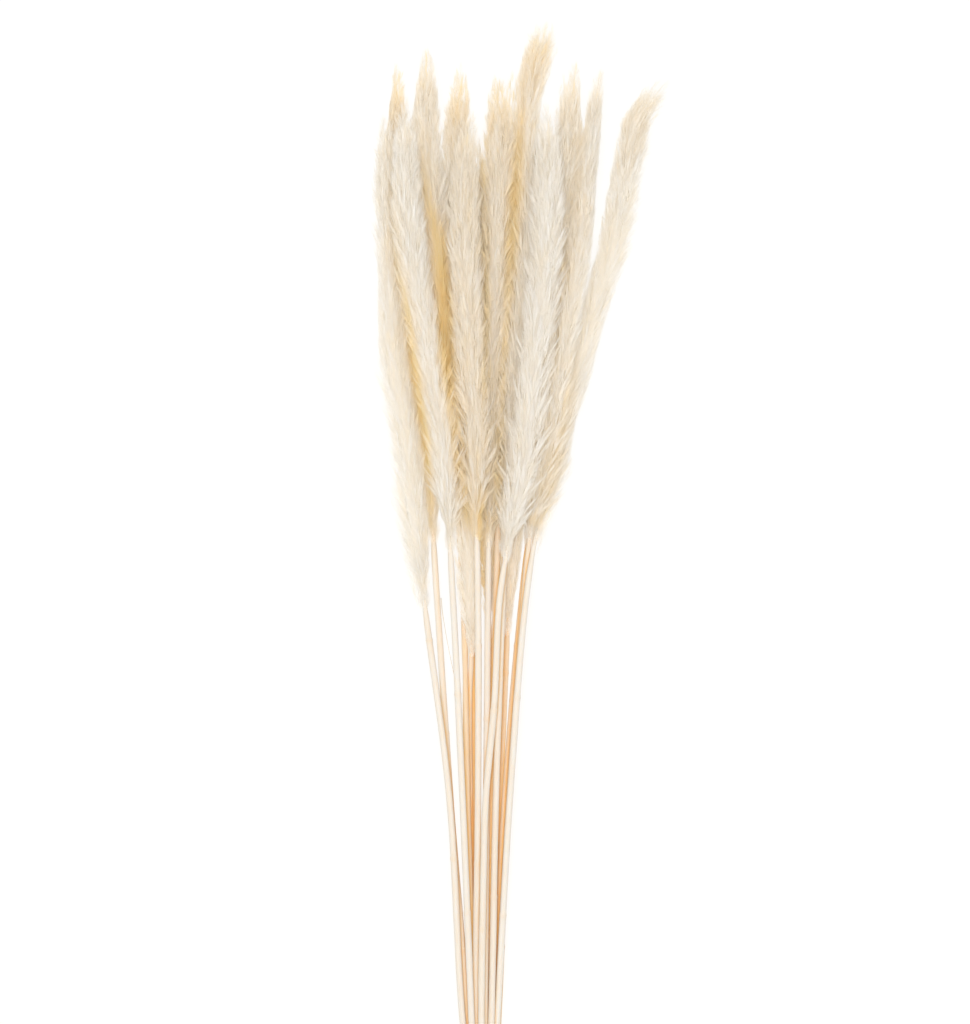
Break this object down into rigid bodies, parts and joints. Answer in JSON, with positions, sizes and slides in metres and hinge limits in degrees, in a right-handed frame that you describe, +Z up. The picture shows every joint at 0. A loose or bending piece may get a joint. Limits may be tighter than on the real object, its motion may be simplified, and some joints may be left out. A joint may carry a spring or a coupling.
{
  "type": "bundle of miscanthus",
  "caption": "Bundle of dried, bleached miscanthus: long slender canes with feathery cream plumes, tied near the cut ends and lying down.",
  "frame": {"origin": "middle of the bundle's underside, on the surface that it lies on", "axes": "+Z up from the surface, +Y along the bundle from the cut ends towards the plume tips"},
  "size_m": [0.2154, 0.94, 0.0716],
  "materials": {
    "stem": "dry bleached cane, satin",
    "plume": "dry silky down, matt",
    "tie": "natural jute twine, matt"
  },
  "bodies": {
    "root": {"stem_01": "stem", "plume_01": "plume", "stem_02": "stem", "plume_02": "plume", "stem_03": "stem", "plume_03": "plume", "stem_04": "stem", "plume_04": "plume", "stem_05": "stem", "plume_05": "plume", "stem_06": "stem", "plume_06": "plume", "stem_07": "stem", "plume_07": "plume", "stem_08": "stem", "plume_08": "plume", "stem_09": "stem", "plume_09": "plume", "stem_10": "stem", "plume_10": "plume", "stem_11": "stem", "plume_11": "plume", "stem_12": "stem", "plume_12": "plume", "stem_13": "stem", "plume_13": "plume", "stem_14": "stem", "plume_14": "plume", "stem_15": "stem", "plume_15": "plume", "stem_16": "stem", "plume_16": "plume", "tie": "tie"}
  },
  "joints": []
}
